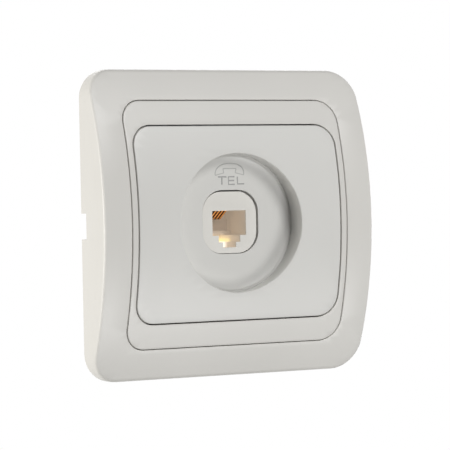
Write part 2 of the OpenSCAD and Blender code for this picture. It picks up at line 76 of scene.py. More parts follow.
# %% Camera
yaw = radians(29.66)
pitch = radians(-0.86)
roll = radians(-1.16)
ahead = Vector((sin(yaw) * cos(pitch), cos(yaw) * cos(pitch), sin(pitch)))
right = Vector((cos(yaw), -sin(yaw), 0))
up = right.cross(ahead)
right_rolled = right * cos(roll) + up * sin(roll)
up_rolled = up * cos(roll) - right * sin(roll)
camera_data = bpy.data.cameras.new("camera")
camera_data.lens = 197.76
camera_data.sensor_width = 36
camera = bpy.data.objects.new("camera", camera_data)
bpy.context.scene.collection.objects.link(camera)
turn = Matrix((right_rolled, up_rolled, -ahead)).transposed()
camera.matrix_world = Matrix.Translation((-0.32803, -0.57978, 0.00935)) @ turn.to_4x4()
bpy.context.scene.camera = camera
print("camera looks along", tuple(round(x, 3) for x in ahead))

# %% [markdown]
# The socket is shown against pure white. The world is white only for what the camera sees
# and for what glossy and clear surfaces mirror; the light that it gives to the plastic is
# weaker, so the lamps can shape the piece. A small pale floor lies well below, out of the
# photograph's view and clear of the low lamp's light.

# %% World and floor
scene = bpy.context.scene
scene.view_settings.view_transform = "Standard"
world = bpy.data.worlds.new("studio")
scene.world = world
world.use_nodes = True
sky = world.node_tree
sky.nodes.clear()
path = sky.nodes.new("ShaderNodeLightPath")
seen = sky.nodes.new("ShaderNodeMath")
seen.operation = "MAXIMUM"
seen_more = sky.nodes.new("ShaderNodeMath")
seen_more.operation = "MAXIMUM"
ambient = sky.nodes.new("ShaderNodeBackground")
ambient.inputs["Color"].default_value = (0.98, 0.99, 1, 1)
ambient.inputs["Strength"].default_value = 0.14
white = sky.nodes.new("ShaderNodeBackground")
white.inputs["Color"].default_value = (1, 1, 1, 1)
white.inputs["Strength"].default_value = 1
either = sky.nodes.new("ShaderNodeMixShader")
sky_out = sky.nodes.new("ShaderNodeOutputWorld")
sky.links.new(path.outputs["Is Camera Ray"], seen.inputs[0])
sky.links.new(path.outputs["Is Glossy Ray"], seen.inputs[1])
sky.links.new(seen.outputs[0], seen_more.inputs[0])
sky.links.new(path.outputs["Is Transmission Ray"], seen_more.inputs[1])
sky.links.new(seen_more.outputs[0], either.inputs[0])
sky.links.new(ambient.outputs[0], either.inputs[1])
sky.links.new(white.outputs[0], either.inputs[2])
sky.links.new(either.outputs[0], sky_out.inputs[0])

bpy.ops.object.select_all(action="DESELECT")
floor_r = 220 * mm
floor_z = -300 * mm
bpy.ops.mesh.primitive_circle_add(vertices=96, radius=floor_r, fill_type="NGON", location=(0, 0, floor_z))
floor = bpy.context.object
floor.name = "floor"
floor_paint = bpy.data.materials.new("floor_paint")
floor_paint.use_nodes = True
floor_look = floor_paint.node_tree.nodes["Principled BSDF"]
floor_look.inputs["Base Color"].default_value = (0.9, 0.9, 0.89, 1)
floor_look.inputs["Roughness"].default_value = 0.8
floor.data.materials.append(floor_paint)
floor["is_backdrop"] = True
print("floor at", round(floor.location.z / mm), "mm")

# %% [markdown]
# Four soft lamps. Two stand in front, a little to the right, one high and one low, so the
# arched front stays even and the well's right wall is in shade. One stands to the left, behind
# the plane of the wall, and brightens only the side wall of the frame. A weak one behind keeps
# the back readable in other views.

# %% Lamps
def soft_lamp(name, place, aim, size, watts, tint=(1, 1, 1)):
    lamp = bpy.data.lights.new(name, "AREA")
    lamp.shape = "SQUARE"
    lamp.size = size
    lamp.energy = watts
    lamp.color = tint
    holder = bpy.data.objects.new(name, lamp)
    scene.collection.objects.link(holder)
    holder.location = place
    holder.rotation_euler = (Vector(aim) - Vector(place)).to_track_quat("-Z", "Y").to_euler()
    print(name, "lamp", watts, "W")


soft_lamp("high", (0.2, -0.75, 0.62), (0, 0, 0), 0.3, 5.3)
soft_lamp("under", (0.3, -0.78, -0.54), (0, 0, 0), 0.3, 4.0)
soft_lamp("side", (-0.78, 0.06, 0.0), (-0.03, 0, 0), 0.3, 6.1, (1.0, 0.985, 0.955))
soft_lamp("back", (0.35, 0.8, 0.5), (0, 0, 0), 0.5, 1.5)

# %% [markdown]
# Moulded plastic is not one flat colour. Its tone drifts a little over some centimetres, a
# fine spark-eroded grain breaks the highlight, and the gloss varies with it. All patterns
# read Object coordinates, so that they stay fixed to the piece. Light also falls into the jack
# from behind and shows in its latch slots, and the translucent plastic carries light into the
# opening. A lamp inside would need a hole that the construction doesn't have, so this light is
# painted: the plastic in the opening and the insert glow weakly, yellow and white at the slots' ends.

# %% Moulded plastic
def srgb(r, g, b):
    def line(c):
        c = c / 255
        return c / 12.92 if c <= 0.04045 else ((c + 0.055) / 1.055) ** 2.4
    return (line(r), line(g), line(b), 1)


def noise(tree, scale, detail, place):
    node = tree.nodes.new("ShaderNodeTexNoise")
    node.inputs["Scale"].default_value = scale
    node.inputs["Detail"].default_value = detail
    tree.links.new(place, node.inputs["Vector"])
    return node


def spread(tree, source, low, high):
    node = tree.nodes.new("ShaderNodeMapRange")
    node.inputs["From Min"].default_value = 0.3
    node.inputs["From Max"].default_value = 0.7
    node.inputs["To Min"].default_value = low
    node.inputs["To Max"].default_value = high
    tree.links.new(source, node.inputs["Value"])
    return node.outputs["Result"]


def finish(name, light, dark, rough, grain=2600, relief=0.06, metallic=0, drift=28, stretch=(1, 1, 1)):
    """A surface whose colour drifts between two tones, with grain in its gloss and relief."""
    material = bpy.data.materials.new(name)
    material.use_nodes = True
    tree = material.node_tree
    look = tree.nodes["Principled BSDF"]
    look.inputs["Metallic"].default_value = metallic
    place = tree.nodes.new("ShaderNodeTexCoord")
    scaled = tree.nodes.new("ShaderNodeMapping")
    scaled.inputs["Scale"].default_value = stretch
    tree.links.new(place.outputs["Object"], scaled.inputs["Vector"])
    wide = noise(tree, drift, 2, scaled.outputs["Vector"])
    fine = noise(tree, grain, 3, scaled.outputs["Vector"])
    tones = tree.nodes.new("ShaderNodeMix")
    tones.data_type = "RGBA"
    tones.inputs["A"].default_value = srgb(*dark)
    tones.inputs["B"].default_value = srgb(*light)
    tree.links.new(spread(tree, wide.outputs["Fac"], 0, 1), tones.inputs["Factor"])
    tree.links.new(tones.outputs["Result"], look.inputs["Base Color"])
    tree.links.new(spread(tree, fine.outputs["Fac"], rough - 0.05, rough + 0.05), look.inputs["Roughness"])
    bump = tree.nodes.new("ShaderNodeBump")
    bump.inputs["Strength"].default_value = relief
    bump.inputs["Distance"].default_value = 0.0001
    tree.links.new(fine.outputs["Fac"], bump.inputs["Height"])
    tree.links.new(bump.outputs["Normal"], look.inputs["Normal"])
    print("finish", name)
    return material


def depth_mask(tree, axis, start, end):
    """0 before start and 1 behind end, along one axis of the object."""
    place = tree.nodes.new("ShaderNodeTexCoord")
    parts = tree.nodes.new("ShaderNodeSeparateXYZ")
    reach = tree.nodes.new("ShaderNodeMapRange")
    reach.interpolation_type = "SMOOTHSTEP"
    reach.inputs["From Min"].default_value = start
    reach.inputs["From Max"].default_value = end
    tree.links.new(place.outputs["Object"], parts.inputs["Vector"])
    tree.links.new(parts.outputs[axis], reach.inputs["Value"])
    return reach.outputs["Result"]


def blend_tones(tree, mask, below, above):
    """Mixes two colours, each a tone or a socket, by a mask."""
    mix = tree.nodes.new("ShaderNodeMix")
    mix.data_type = "RGBA"
    tree.links.new(mask, mix.inputs["Factor"])
    for name, colour in (("A", below), ("B", above)):
        if isinstance(colour, tuple):
            mix.inputs[name].default_value = colour
        else:
            tree.links.new(colour, mix.inputs[name])
    return mix.outputs["Result"]


frame_plastic = finish("frame_plastic", (210, 208, 203), (206, 204, 199), 0.42)
trim_plastic = finish("trim_plastic", (209, 207, 202), (205, 203, 198), 0.4)
plate_plastic = finish("plate_plastic", (211, 210, 206), (207, 206, 202), 0.42)
dish_plastic = finish("dish_plastic", (207, 206, 202), (203, 202, 198), 0.36)
jack_plastic = finish("jack_plastic", (218, 216, 210), (215, 212, 206), 0.33)
inside_plastic = finish("inside_plastic", (218, 206, 192), (212, 200, 186), 0.4)
# Painted light: the opening's plastic glows, dim at the front and in the plug opening, brighter in the latch
# slots, and yellow and white at their deep ends.
glow = 0.8
look = inside_plastic.node_tree.nodes["Principled BSDF"]
tree = inside_plastic.node_tree
behind = depth_mask(tree, "Y", -2.4 * mm, 0.3 * mm)
below = depth_mask(tree, "Z", -3.4 * mm, -3.7 * mm)
deep = depth_mask(tree, "Z", -3.9 * mm, -4.7 * mm)
lower = depth_mask(tree, "Z", -5.0 * mm, -5.35 * mm)
ray = blend_tones(tree, lower, srgb(208, 195, 126), srgb(232, 230, 224))
ray = blend_tones(tree, deep, srgb(150, 138, 112), ray)
slots = blend_tones(tree, behind, srgb(124, 117, 106), ray)
through = blend_tones(tree, below, srgb(104, 100, 92), slots)
tree.links.new(through, look.inputs["Emission Color"])
look.inputs["Emission Strength"].default_value = glow
sign_grey = finish("sign_grey", (176, 176, 173), (170, 170, 167), 0.5)
letter_grey = finish("letter_grey", (158, 158, 156), (152, 152, 150), 0.5)
insert_plastic = finish("insert_plastic", (212, 202, 190), (204, 192, 178), 0.45)
# Painted light: the insert glows weakly too, for light carried through the plastic.
look = insert_plastic.node_tree.nodes["Principled BSDF"]
look.inputs["Emission Color"].default_value = srgb(112, 104, 96)
look.inputs["Emission Strength"].default_value = glow
# Painted shade: dark brown for the sheet that stands for the shadows behind the contact wires.
wire_shadow_plastic = finish("wire_shadow_plastic", (84, 58, 38), (72, 48, 30), 0.5)
contact_gold = finish("contact_gold", (228, 168, 104), (206, 142, 80), 0.3, metallic=1)

# %% [markdown]
# Every moulding starts as a flat sheet in the plane of the wall: a plane at its size, with its
# corners rounded by a vertex bevel. It could also be traced as a curve, but the bevel gives true
# arcs with an even number of points, which matters when two outlines are bridged.

# %% Rounded sheets
def clear():
    if bpy.context.object and bpy.context.object.mode != "OBJECT":
        bpy.ops.object.mode_set(mode="OBJECT")
    bpy.ops.object.select_all(action="DESELECT")


def edit(piece):
    clear()
    bpy.context.view_layer.objects.active = piece
    piece.select_set(True)
    bpy.ops.object.mode_set(mode="EDIT")
    bpy.ops.mesh.select_all(action="SELECT")


def done(piece):
    bpy.ops.object.mode_set(mode="OBJECT")
    return piece


def sheet(width, height, radius, y, x=0, z=0, steps=10):
    """A rounded rectangle that faces the front, at depth y."""
    clear()
    bpy.ops.mesh.primitive_plane_add(size=1, rotation=(pi / 2, 0, 0))
    piece = bpy.context.object
    bpy.ops.object.transform_apply(location=True, rotation=True, scale=True)
    edit(piece)
    bpy.ops.transform.resize(value=(width, 1, height))
    if radius:
        bpy.ops.mesh.bevel(offset=radius, segments=steps, affect="VERTICES")
    bpy.ops.transform.translate(value=(x, y, z))
    return done(piece)


def disc(radius, y):
    """A round sheet that faces the front, at depth y."""
    clear()
    bpy.ops.mesh.primitive_circle_add(vertices=128, radius=radius, fill_type="NGON",
                                      rotation=(pi / 2, 0, 0))
    piece = bpy.context.object
    bpy.ops.object.transform_apply(location=True, rotation=True, scale=True)
    edit(piece)
    bpy.ops.transform.translate(value=(0, y, 0))
    return done(piece)


# %% [markdown]
# Two outlines are joined and bridged into a flat ring, and a sheet or ring becomes a solid when
# all its faces are extruded along Y. Holes and hollows are cut with the Boolean modifier: it is
# quick to read, and the cutter keeps the size of the hole.

# %% Rings, solids and cuts
def ring(outer, inner):
    """One flat ring from an outer and an inner sheet."""
    clear()
    outer.select_set(True)
    inner.select_set(True)
    bpy.context.view_layer.objects.active = outer
    bpy.ops.object.join()
    edit(outer)
    bpy.ops.mesh.delete(type="ONLY_FACE")
    bpy.ops.mesh.select_all(action="SELECT")
    bpy.ops.mesh.bridge_edge_loops()
    return done(outer)


def thick(piece, back):
    """The sheet extruded from its own depth to the depth back."""
    edit(piece)
    here = piece.data.vertices[0].co.y
    bpy.ops.mesh.extrude_region_move(TRANSFORM_OT_translate={"value": (0, back - here, 0)})
    bpy.ops.mesh.select_all(action="SELECT")
    bpy.ops.mesh.normals_make_consistent(inside=False)
    return done(piece)


def apply_all(piece):
    clear()
    bpy.context.view_layer.objects.active = piece
    piece.select_set(True)
    for modifier in list(piece.modifiers):
        bpy.ops.object.modifier_apply(modifier=modifier.name)


def boolean(piece, others, operation="DIFFERENCE"):
    for other in others:
        modifier = piece.modifiers.new("cut", "BOOLEAN")
        modifier.object = other
        modifier.operation = operation
        modifier.solver = "EXACT"
        apply_all(piece)
        bpy.data.objects.remove(other)
    return piece


def bar(low, high):
    """A straight-edged block between two corners, used as a cutter or a rib."""
    clear()
    bpy.ops.mesh.primitive_cube_add(size=1)
    piece = bpy.context.object
    edit(piece)
    bpy.ops.transform.resize(value=[high[i] - low[i] for i in range(3)])
    bpy.ops.transform.translate(value=[(high[i] + low[i]) / 2 for i in range(3)])
    return done(piece)


# %% [markdown]
# A mould never has a razor edge. Edges are picked in code by a test on their place, and rounded
# with a bevel while the piece is still flat, which keeps the rounding even all the way round.

# %% Rounded edges
def round_edges(piece, wanted, width, steps=3):
    """Bevels the sharp edges whose two ends both pass the test wanted(point)."""
    edit(piece)
    bpy.ops.mesh.select_mode(type="EDGE")
    bpy.ops.mesh.select_all(action="DESELECT")
    mesh = bmesh.from_edit_mesh(piece.data)
    count = 0
    for edge in mesh.edges:
        sharp = len(edge.link_faces) == 2 and edge.calc_face_angle(0) > radians(35)
        if sharp and all(wanted(v.co) for v in edge.verts):
            edge.select_set(True)
            count += 1
    bmesh.update_edit_mesh(piece.data)
    if count:
        bpy.ops.mesh.bevel(offset=width, segments=steps, affect="EDGES", loop_slide=False)
    bpy.ops.mesh.select_mode(type="VERT")
    bpy.ops.mesh.select_all(action="SELECT")
    return done(piece)


# %% [markdown]
# Seen from the side the whole front is one arc. A simple deform could bend the pieces, but it
# would bend the walls too. So each moulding is made flat, cut by level planes every few
# millimetres, and the points of its front skin slide back to the arc.

# %% Arch the front
frame_low, frame_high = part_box("outer_frame")
frame_w = frame_high.x - frame_low.x
frame_depth = -frame_low.y
arch_r = 88 * mm


def arch_drop(z):
    return arch_r - sqrt(arch_r * arch_r - z * z)


def arch(piece, front_of=-9 * mm, step=2 * mm):
    edit(piece)
    half = frame_w / 2
    level = -half + step / 2
    while level < half:
        bpy.ops.mesh.select_all(action="SELECT")
        bpy.ops.mesh.bisect(plane_co=(0, 0, level), plane_no=(0, 0, 1))
        level += step
    done(piece)
    for v in piece.data.vertices:
        if v.co.y < front_of:
            v.co.y += arch_drop(v.co.z)
    return piece


def smooth(piece, angle=32):
    clear()
    bpy.context.view_layer.objects.active = piece
    piece.select_set(True)
    bpy.ops.object.shade_smooth_by_angle(angle=radians(angle))


def finished(piece, name, material, nodes=(), body="socket", angle=32):
    """Names the piece, gives it its finish and hands it to its body."""
    smooth(piece, angle)
    piece.name = name
    piece.data.name = name
    piece.data.materials.clear()
    piece.data.materials.append(material)
    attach(piece, body)
    if nodes:
        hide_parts(*nodes)
    print(name, "has", len(piece.data.polygons), "faces")
    return piece


print("frame", round(frame_w / mm, 1), "mm wide,", round(frame_depth / mm, 1), "mm deep")

# %% [markdown]
# The outer frame is a hollow moulding: a front skin, a side wall all round, a wall around the
# window with a ledge that carries the trim frame, and ribs that stiffen it from behind.

# %% Outer frame
skin = 1.8 * mm
over = 1 * mm
corner_r = 7.6 * mm
frame_wall = 1.9 * mm
window = (65.8 * mm, 65.6 * mm, 6 * mm)
window_wall = 1.4 * mm
ledge_w = 0.9 * mm
ring_back = -3.4 * mm
support_t = 1 * mm
rib_t = 1.2 * mm
notch = (6.7 * mm, 2.8 * mm)
window_margin = 3.1 * mm


def grown(outline, by):
    return (outline[0] + 2 * by, outline[1] + 2 * by, outline[2] + by)


def at_front(p):
    return p.y < -frame_depth + over / 2


def outside_window(p):
    return max(abs(p.x), abs(p.z)) > window[0] / 2 + window_margin


outline = (frame_w, frame_w, corner_r)
inner = grown(outline, -frame_wall)
front = ring(sheet(*outline, -frame_depth), sheet(*window, -frame_depth))
thick(front, 0)
round_edges(front, lambda p: at_front(p) and outside_window(p), 0.7 * mm, 4)
round_edges(front, lambda p: at_front(p) and not outside_window(p), 0.3 * mm)
ledge = ring(sheet(*grown(window, window_wall / 2), ring_back), sheet(*grown(window, -ledge_w), ring_back))
boolean(front, [thick(ledge, 0)], "UNION")
hollow = ring(sheet(*inner, -frame_depth + skin), sheet(*grown(window, window_wall), -frame_depth + skin))
thick(hollow, over)
for place in (-0.55, 0, 0.55):
    at = place * window[0] / 2
    for side in (-1, 1):
        low, high = sorted((side * window[0] / 2, side * frame_w / 2))
        upright = bar((low, -frame_depth, at - rib_t / 2), (high, -support_t, at + rib_t / 2))
        level = bar((at - rib_t / 2, -frame_depth, low), (at + rib_t / 2, -support_t, high))
        boolean(hollow, [upright, level])
boolean(front, [hollow, thick(sheet(*inner, -support_t), over)])
for side in (-1, 1):
    notch_cut = bar((side * frame_w / 2 - 2 * frame_wall, -notch[1], -notch[0] / 2),
                    (side * frame_w / 2 + 2 * frame_wall, over, notch[0] / 2))
    boolean(front, [notch_cut])
arch(front)
finished(front, "frame_shell", frame_plastic, ["outer_frame"])

# %% [markdown]
# The trim frame lies in the window with a fine gap. Its bars above and below are wide, so the
# moulder hollows them from behind to keep the walls even.

# %% Trim frame
ring_gap = 0.2 * mm
ring_outline = grown(window, -ring_gap)
plate_window = (62.1 * mm, 52.4 * mm, 5.9 * mm)
channel_wall = 1.3 * mm

front = ring(sheet(*ring_outline, -frame_depth), sheet(*plate_window, -frame_depth))
thick(front, ring_back)
round_edges(front, at_front, 0.18 * mm)
bar_h = (ring_outline[1] - plate_window[1]) / 2 - 2 * channel_wall
bar_w = ring_outline[0] - 2 * ring_outline[2]
for side in (-1, 1):
    mid = side * (plate_window[1] / 2 + channel_wall + bar_h / 2)
    boolean(front, [bar((-bar_w / 2, -frame_depth + skin, mid - bar_h / 2), (bar_w / 2, 0, mid + bar_h / 2))])
arch(front)
finished(front, "trim_frame", trim_plastic, ["inner_frame"])

# %% [markdown]
# The cover plate is a shallow box with the round well through it. The well's wall runs back
# as a collar to the carrier, and four legs with barbs snap into the steel plate.

# %% Cover plate
plate_gap = 0.35 * mm
plate_outline = grown(plate_window, -plate_gap)
plate_wall = 1.4 * mm
skirt_back = -3 * mm
carrier_front = -2.5 * mm
well_r = 18.5 * mm
collar_r = well_r + 1.4 * mm
leg = (1.4 * mm, 4 * mm, 0.8 * mm)
leg_x = 26.5 * mm
leg_z = 17 * mm
leg_tip = 1.6 * mm
barb = (0.05 * mm, 0.5 * mm)

front = ring(sheet(*plate_outline, -frame_depth), disc(well_r, -frame_depth))
thick(front, skirt_back)
round_edges(front, lambda p: at_front(p) and hypot(p.x, p.z) > collar_r, 0.2 * mm)
round_edges(front, lambda p: at_front(p) and hypot(p.x, p.z) < collar_r, 0.3 * mm)
hollow = ring(sheet(*grown(plate_outline, -plate_wall), -frame_depth + skin),
              disc(collar_r, -frame_depth + skin))
boolean(front, [thick(hollow, over)])
collar = ring(disc(collar_r, -frame_depth + 2 * skin), disc(well_r, -frame_depth + 2 * skin))
boolean(front, [thick(collar, carrier_front)], "UNION")


def snap_leg(side, up):
    """One leg with its barb, a prism drawn from above."""
    x = side * leg_x
    outer = x + side * (leg[0] / 2 + leg[2])
    low, high = up * leg_z - leg[1] / 2, up * leg_z + leg[1] / 2
    post = bar((x - leg[0] / 2, -frame_depth + skin / 2, low), (x + leg[0] / 2, leg_tip, high))
    hook = bar((min(x, outer), barb[0], low), (max(x, outer), leg_tip, high))
    for v in hook.data.vertices:
        if v.co.y > over and abs(v.co.x - outer) < leg[2] / 2:
            v.co.y = barb[1]
    return boolean(post, [hook], "UNION")


for side in (-1, 1):
    for level in (-1, 1):
        boolean(front, [snap_leg(side, level)], "UNION")
arch(front)
finished(front, "cover_shell", plate_plastic, ["cover_plate"])

# %% [markdown]
# The dish is turned: its profile is drawn point by point from the middle to the rim, a flat
# floor, a hollow-curved border and a narrow lip, and spun about the Y axis. The jack's hole is
# cut afterwards and its edge is softened.

# %% Well dish
dish_r = well_r - 0.42 * mm
dish_rim = 7.6 * mm
dish_floor = 6.8 * mm
dish_border = 5.2 * mm
dish_lip = 0.42 * mm
dish_wall = 1.5 * mm
doorway = (17.1 * mm, 17.02 * mm, 6 * mm)
doorway_z = 0.235 * mm
dish_rise = dish_rim - dish_floor
border_r = (dish_border ** 2 + dish_rise ** 2) / (2 * dish_rise)
border_start = dish_r - dish_lip - dish_border


def dish_height(r):
    """How far the dish stands off the wall at the distance r from its middle."""
    along = min(max(r - border_start, 0), dish_border)
    return dish_floor + border_r - sqrt(border_r ** 2 - along ** 2)


def turned(profile, steps=128):
    """A closed turned solid from a profile given as (radius, depth) points."""
    clear()
    bpy.ops.mesh.primitive_plane_add(size=mm)
    piece = bpy.context.object
    edit(piece)
    bpy.ops.mesh.merge(type="CENTER")
    bpy.ops.transform.translate(value=(profile[0][0], profile[0][1], 0))
    for before, after in zip(profile, profile[1:]):
        bpy.ops.mesh.extrude_region_move(
            TRANSFORM_OT_translate={"value": (after[0] - before[0], after[1] - before[1], 0)})
    bpy.ops.mesh.select_all(action="SELECT")
    bpy.ops.mesh.spin(steps=steps, angle=2 * pi, center=(0, 0, 0), axis=(0, 1, 0))
    bpy.ops.mesh.select_all(action="SELECT")
    bpy.ops.mesh.remove_doubles(threshold=0.001 * mm)
    bpy.ops.mesh.normals_make_consistent(inside=False)
    return done(piece)


near = 0.01 * mm
lip_round = 0.05 * mm
shoulder = (0.06 * mm, 0.03 * mm)
border_steps = 14
border = [(border_start + dish_border * k / border_steps,
           -dish_height(border_start + dish_border * k / border_steps)) for k in range(border_steps + 1)]
profile = [(0, -dish_floor)] + border + [
    (dish_r - lip_round, -dish_rim), (dish_r - 0.3 * lip_round, -dish_rim + 0.3 * lip_round),
    (dish_r, -dish_rim + lip_round), (dish_r, -dish_rim + shoulder[0]),
    (well_r - shoulder[1], -dish_rim + shoulder[0]), (well_r - shoulder[1], -dish_floor + dish_wall),
    (dish_r, -dish_floor + dish_wall), (dish_r, carrier_front), (dish_r - dish_wall, carrier_front),
    (dish_r - dish_wall, -dish_floor + dish_wall), (0, -dish_floor + dish_wall)]
dish = turned(profile)
boolean(dish, [thick(sheet(*doorway, -dish_floor - over, z=doorway_z, steps=12), over)])
round_edges(dish, lambda p: p.y < -dish_floor + near and hypot(p.x, p.z) < border_start, 0.08 * mm)
finished(dish, "dish", dish_plastic, ["well_dish"], angle=12)

# %% [markdown]
# The jack: a rounded face, a body behind it, and the plug opening with its two latch steps.
# The opening is cut through face and body together, as one core forms both in the mould. The
# whole jack lies a third of a millimetre to the left, so its gap is closed there and open on
# the right.

# %% Jack housing
jack_x = -0.33 * mm
bezel = (16.55 * mm, 16.5 * mm, 5.8 * mm)
bezel_x = -0.25 * mm
bezel_z = 0.11 * mm
bezel_front = -6.65 * mm
bezel_back = bezel_front + 2.2 * mm
plug = (10.2 * mm, 6.6 * mm)
plug_z = -0.05 * mm
plug_top = plug_z + plug[1] / 2
plug_bottom = plug_z - plug[1] / 2
plug_end = 4.35 * mm
latch = ((6.5 * mm, 1.8 * mm), (3.9 * mm, 1.4 * mm))
latch_low = (plug_bottom - latch[0][1], plug_bottom - latch[0][1] - latch[1][1])
jack_wall = 1.9 * mm
board_y = 8 * mm
channel = (4.48 * mm, 1.1 * mm)
wire_front = -2.4 * mm
lap = 0.05 * mm
opening_reach = 7 * mm
jack_top = plug_top + channel[1] + jack_wall
jack_bottom = latch_low[1] - 1.2 * mm


def core(width, front, back, low, high):
    """A block around the jack's middle, from front to back and from low to high."""
    return bar((jack_x - width / 2, front, low), (jack_x + width / 2, back, high))


jack = thick(sheet(*bezel, bezel_front, x=bezel_x, z=bezel_z, steps=12), bezel_back)
round_edges(jack, lambda p: p.y < bezel_front + near, 0.14 * mm, 3)
jack_body = thick(sheet(plug[0] + 2 * jack_wall, jack_top - jack_bottom, 1 * mm, bezel_back - lap,
                        x=jack_x, z=(jack_top + jack_bottom) / 2, steps=4), board_y)
boolean(jack, [jack_body], "UNION")
boolean(jack, [
    core(plug[0], bezel_front - over, board_y + over, plug_bottom, plug_top),
    core(latch[0][0], bezel_front - over, plug_end, latch_low[0], plug_bottom + lap),
    core(latch[1][0], bezel_front - over, plug_end, latch_low[1], latch_low[0] + lap),
    core(channel[0], wire_front, board_y + over, plug_top - lap, plug_top + channel[1])])
round_edges(jack, lambda p: p.y < bezel_front + near and max(abs(p.x - jack_x), abs(p.z)) < opening_reach,
            0.12 * mm, 2)
finished(jack, "jack", jack_plastic, ["jack_housing"])
# The faces inside the opening take the plastic with the painted glow.
jack.data.materials.append(inside_plastic)
for face in jack.data.polygons:
    x, y, z = face.center
    across = abs(x - jack_x) < plug[0] / 2 + lap
    if y > bezel_front + 2 * lap and across and latch_low[1] - lap < z < plug_top + lap:
        face.material_index = 1

# %% [markdown]
# The insert closes the opening from behind. Its upper part is a comb with a slot behind each
# contact, and a low ledge stops the plug. It is a few blocks joined by Boolean unions, which
# keeps the inner corners of the real moulding.

# %% Contact insert
insert_face = 3.6 * mm
comb_low = 0.85 * mm
comb_gap = 0.5 * mm
ledge_top = -2.2 * mm
ledge_front = 1.6 * mm
poles = range(4)
wire_pitch = 1.02 * mm
wire_z = plug_top + channel[1] / 2
slot_w = 0.6 * mm
slot_d = 3 * mm


def wire_x(pole):
    return jack_x + (pole - 1.5) * wire_pitch


insert = core(plug[0] - 2 * lap, insert_face, board_y, plug_bottom + lap, comb_low)
boolean(insert, [
    core(plug[0] - 2 * comb_gap, insert_face, board_y, comb_low - lap, plug_top - lap),
    core(channel[0] - 2 * lap, insert_face, board_y, plug_top - 2 * lap, plug_top + channel[1] - lap),
    core(plug[0] - 2 * lap, ledge_front, insert_face + lap, plug_bottom + lap, ledge_top)], "UNION")
slot_top = plug_top + channel[1] / 2 + 4 * lap
for pole in poles:
    boolean(insert, [bar((wire_x(pole) - slot_w / 2, insert_face - over, comb_low + lap),
                         (wire_x(pole) + slot_w / 2, insert_face + slot_d, slot_top))])
round_edges(insert, lambda p: p.y < insert_face + lap, 0.05 * mm, 2)
finished(insert, "insert", insert_plastic, ["contact_insert"])

# %% [markdown]
# Each contact is one gold-plated wire: it comes forward under the roof of the jack, turns, and
# slopes back and down into the opening, where a plug presses on it. It is a poly curve with a
# round section, made a mesh and widened a little, as such wires are slightly flat. A sweep along
# a path would do the same, but the curve's points can be read as the wire's route.

# %% Contact wires
wire_r = 0.19 * mm
wire_flat = 1.3
wire_turn_y = -1.75 * mm
wire_turn_r = 0.42 * mm
wire_slope = radians(32)
wire_tail_y = 10.1 * mm
wire_low = 1.05 * mm


def wire_route():
    """The wire's points as (depth, height), from the board to its free end."""
    mid_z = wire_z - wire_turn_r
    points = [(wire_tail_y, wire_z), (wire_turn_y, wire_z)]
    sweep = pi - wire_slope
    for k in range(1, 11):
        turn = sweep * k / 10
        points.append((wire_turn_y - wire_turn_r * sin(turn), mid_z + wire_turn_r * cos(turn)))
    last_y, last_z = points[-1]
    points.append((last_y + (last_z - wire_low) / sin(wire_slope) * cos(wire_slope), wire_low))
    return points


def tube(points, radius, resolution, closed=False):
    """A round line through the points, made a mesh."""
    clear()
    bpy.ops.curve.primitive_bezier_curve_add()
    line = bpy.context.object
    line.data.splines.clear()
    spline = line.data.splines.new("POLY")
    spline.points.add(len(points) - 1)
    for point, place in zip(spline.points, points):
        point.co = (*place, 1)
    spline.use_cyclic_u = closed
    line.data.dimensions = "3D"
    line.data.bevel_depth = radius
    line.data.bevel_resolution = resolution
    line.data.use_fill_caps = not closed
    bpy.ops.object.convert(target="MESH")
    return line


for pole in poles:
    wire = tube([(0, y, z) for y, z in wire_route()], wire_r, 3)
    edit(wire)
    bpy.ops.transform.resize(value=(wire_flat, 1, 1))
    bpy.ops.transform.translate(value=(wire_x(pole), 0, 0))
    done(wire)
    finished(wire, f"contact_{pole + 1}", contact_gold, [f"contact_wire_{pole + 1}"])

# %% [markdown]
# A dark sheet lies behind the sloping stretch: painted shade for the shadows and gaps behind
# the wires. It is a thin block whose points slide back along the wires' slope.

# %% Wire shadow sheet
wire_shadow_w = 4 * wire_pitch
wire_shadow_t = 0.3 * mm
wire_shadow_high = wire_z - wire_turn_r
slope_end_y, slope_end_z = wire_route()[-1]
wire_shadow = core(wire_shadow_w, 0, wire_shadow_t, wire_low - wire_r, wire_shadow_high)
for v in wire_shadow.data.vertices:
    v.co.y += slope_end_y - (v.co.z - slope_end_z) / tan(wire_slope) + 2.4 * wire_r
finished(wire_shadow, "wire_shadow_sheet", wire_shadow_plastic)

# %% [markdown]
# The handset sign and the letters TEL say what the socket is for. They are drawn as thin
# strokes on the dish. Each stroke is a poly curve with a small round section, made a mesh and
# then laid on the dish's surface by its height formula.

# %% Sign and letters
sign_r = 0.17 * mm
letter_r = 0.21 * mm
stroke_flat = 0.35


def stroke(points, radius, closed=False):
    """A thin line through points given as (x, z) in millimetres, laid on the dish."""
    line = tube([(x * mm, 0, z * mm) for x, z in points], radius, 2, closed)
    for v in line.data.vertices:
        v.co.y = stroke_flat * v.co.y - dish_height(hypot(v.co.x, v.co.z)) + near
    return line


def joined(pieces):
    clear()
    for piece in pieces:
        piece.select_set(True)
    bpy.context.view_layer.objects.active = pieces[0]
    bpy.ops.object.join()
    return pieces[0]


def full_arc(cx, cz, rx, rz, steps, fullness=0.86):
    """A quarter turn from the top to the right, fuller than an ellipse."""
    turns = [pi / 2 * (1 - k / steps) for k in range(steps + 1)]
    return [(cx + rx * cos(t) ** fullness, cz + rz * sin(t) ** fullness) for t in turns]


